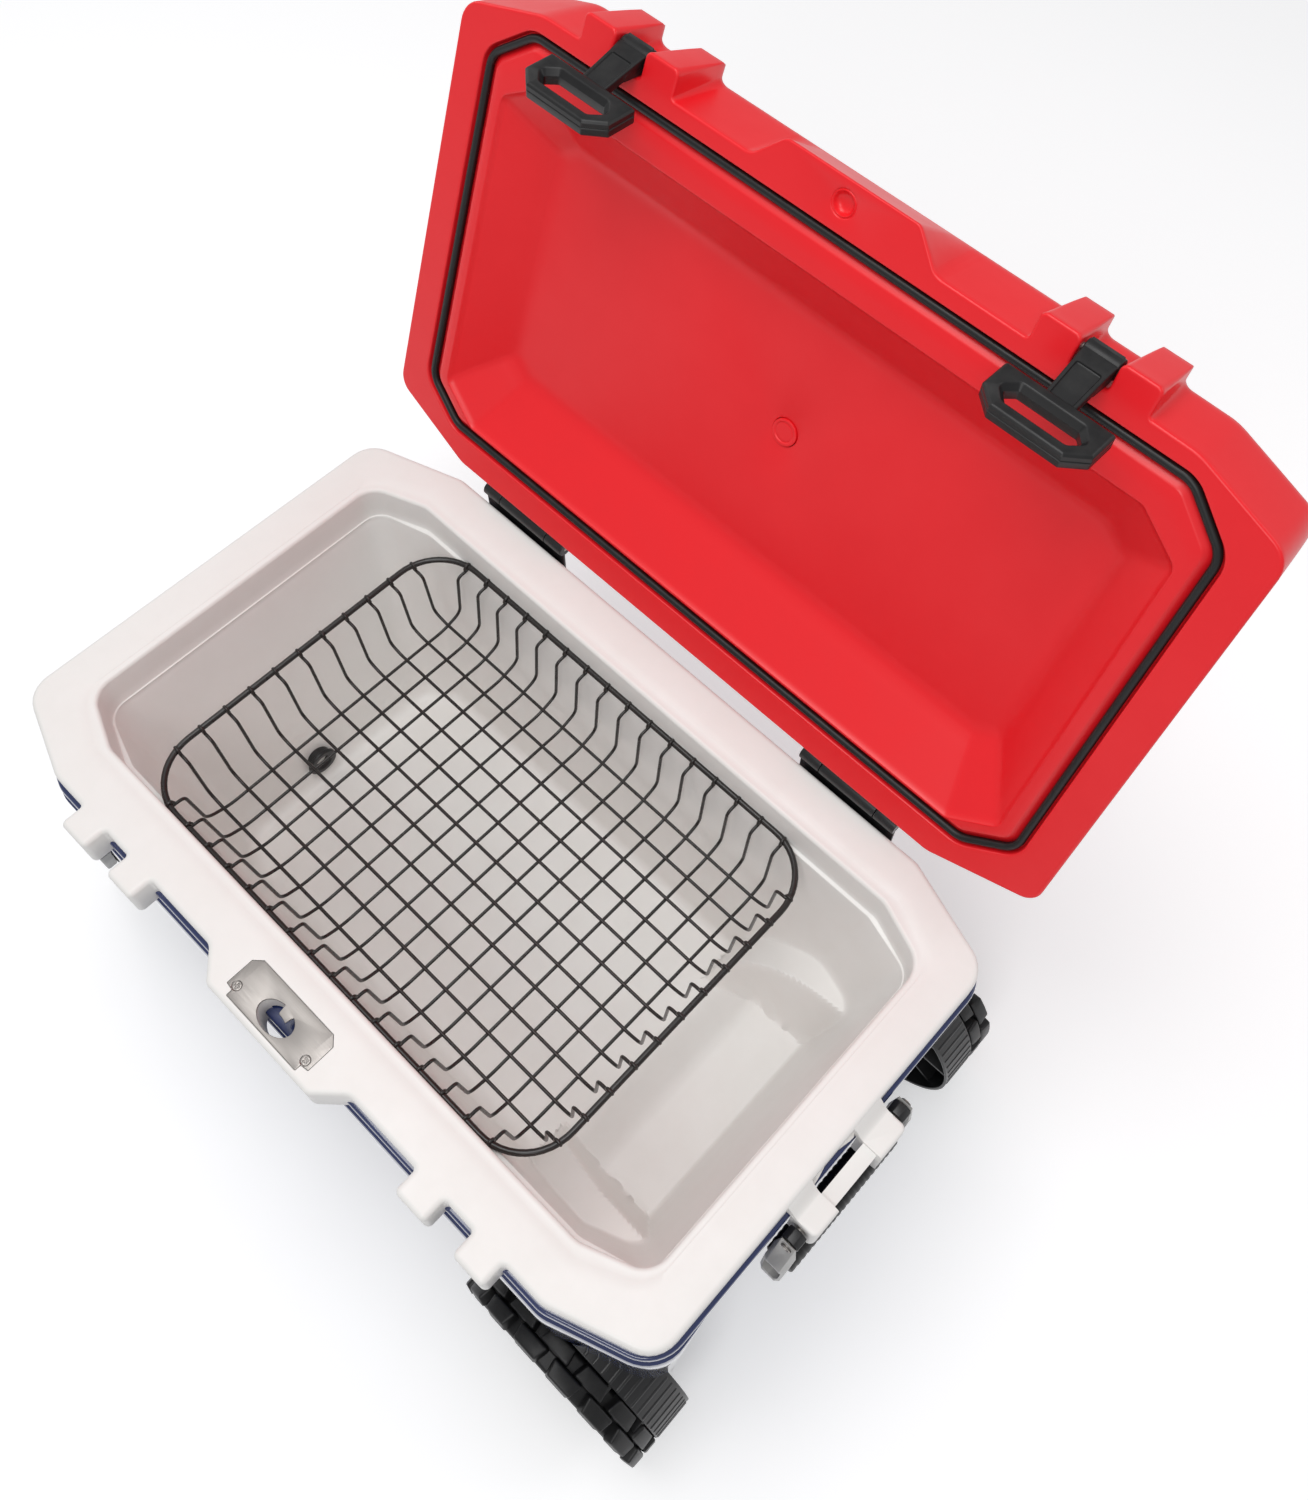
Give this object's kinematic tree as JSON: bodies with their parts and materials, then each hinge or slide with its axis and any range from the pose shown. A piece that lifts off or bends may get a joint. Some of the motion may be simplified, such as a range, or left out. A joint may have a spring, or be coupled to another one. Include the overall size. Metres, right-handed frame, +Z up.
{
  "type": "wheeled cooler",
  "caption": "Wheeled hard cooler with its red lid open: navy tub, white liner, wire basket, rubber latches, black all-terrain wheels, a steel lock plate and a grip at the wheel end.",
  "frame": {"origin": "centre of the tub's flat underside", "axes": "+X along the cooler towards the wheels, -Y towards the latches at the front, +Z up"},
  "size_m": [0.8704, 0.7419, 0.9168],
  "materials": {
    "navy_gloss": "gloss",
    "white_moulding": "satin",
    "red_moulding": "satin",
    "insulation_foam": "matte",
    "black_plastic": "satin",
    "black_rubber": "matte",
    "brushed_steel": "satin",
    "silver_plastic": "satin",
    "coated_wire": "satin"
  },
  "bodies": {
    "body": {"outer_tub": "navy_gloss", "foam_core": "insulation_foam", "liner": "white_moulding", "rim": "white_moulding", "handle_block": "white_moulding", "lock_plate": "brushed_steel", "lock_plate_screw_left": "brushed_steel", "lock_plate_screw_right": "brushed_steel", "foot_front": "black_rubber", "foot_rear": "black_rubber", "drain_spout": "black_plastic", "drain_seal": "black_rubber", "axle": "brushed_steel", "axle_sleeve_front": "black_plastic", "axle_sleeve_rear": "black_plastic", "axle_nut_front": "brushed_steel", "axle_nut_rear": "brushed_steel", "hinge_leaf_body_left": "black_plastic", "hinge_leaf_body_right": "black_plastic", "hinge_pin_left": "brushed_steel", "hinge_pin_right": "brushed_steel", "hinge_screw_body_left_a": "black_plastic", "hinge_screw_body_left_b": "black_plastic", "hinge_screw_body_right_a": "black_plastic", "hinge_screw_body_right_b": "black_plastic", "carry_pin_front": "brushed_steel", "carry_pin_rear": "brushed_steel", "tow_bolt_front": "brushed_steel", "tow_bolt_rear": "brushed_steel"},
    "lid": {"lid_shell": "red_moulding", "lid_pan": "red_moulding", "lid_foam": "insulation_foam", "lid_plug": "red_moulding", "lid_gasket": "black_rubber", "hinge_leaf_lid_left": "black_plastic", "hinge_leaf_lid_right": "black_plastic", "hinge_screw_lid_left_a": "black_plastic", "hinge_screw_lid_left_b": "black_plastic", "hinge_screw_lid_right_a": "black_plastic", "hinge_screw_lid_right_b": "black_plastic", "latch_pin_left": "brushed_steel", "latch_pin_right": "brushed_steel"},
    "latch_left": {"latch_left": "black_rubber"},
    "latch_right": {"latch_right": "black_rubber"},
    "wheel_front": {"wheel_front_tread": "black_rubber", "wheel_front_hub": "black_plastic", "wheel_front_cap": "black_plastic"},
    "wheel_rear": {"wheel_rear_tread": "black_rubber", "wheel_rear_hub": "black_plastic", "wheel_rear_cap": "black_plastic"},
    "carry_handle": {"carry_arm_front": "silver_plastic", "carry_arm_rear": "silver_plastic", "carry_knuckle_front": "black_plastic", "carry_knuckle_rear": "black_plastic", "carry_grip": "black_rubber"},
    "tow_handle": {"tow_arm_front": "black_plastic", "tow_arm_rear": "black_plastic", "tow_grip": "black_plastic"},
    "basket": {"wire_basket": "coated_wire"},
    "plug": {"drain_plug": "black_plastic"}
  },
  "joints": [
    {"name": "lid_hinge", "type": "hinge", "parent": "body", "child": "lid", "pos_m": [0, 0.2478, 0.3809], "axis": [-1, 0, 0], "range_deg": [-110.8, 0]},
    {"name": "latch_left_swing", "type": "hinge", "parent": "lid", "child": "latch_left", "pos_m": [-0.22425, 0.4217, 0.8356], "axis": [-1, 0, 0], "range_deg": [0, 130]},
    {"name": "latch_right_swing", "type": "hinge", "parent": "lid", "child": "latch_right", "pos_m": [0.22425, 0.4217, 0.8356], "axis": [-1, 0, 0], "range_deg": [0, 130]},
    {"name": "wheel_front_spin", "type": "hinge", "parent": "body", "child": "wheel_front", "pos_m": [0.329, -0.239, 0.05], "axis": [0, 1, 0], "continuous": true},
    {"name": "wheel_rear_spin", "type": "hinge", "parent": "body", "child": "wheel_rear", "pos_m": [0.329, 0.239, 0.05], "axis": [0, 1, 0], "continuous": true},
    {"name": "carry_handle_swing", "type": "hinge", "parent": "body", "child": "carry_handle", "pos_m": [0.427, 0, 0.338], "axis": [0, -1, 0], "range_deg": [0, 110]},
    {"name": "tow_handle_swing", "type": "hinge", "parent": "body", "child": "tow_handle", "pos_m": [-0.3, 0, 0.25], "axis": [0, 1, 0], "range_deg": [0, 95]},
    {"name": "basket_lift", "type": "slide", "parent": "body", "child": "basket", "axis": [0, 0, 1], "range_m": [0, 0.3]},
    {"name": "drain_plug_pull", "type": "slide", "parent": "body", "child": "plug", "axis": [-1, 0, 0], "range_m": [0, 0.028]}
  ],
  "couplings": [
    {"joint": "latch_left_swing", "follows": "lid_hinge", "ratio": -0.686},
    {"joint": "latch_right_swing", "follows": "lid_hinge", "ratio": -0.686}
  ]
}
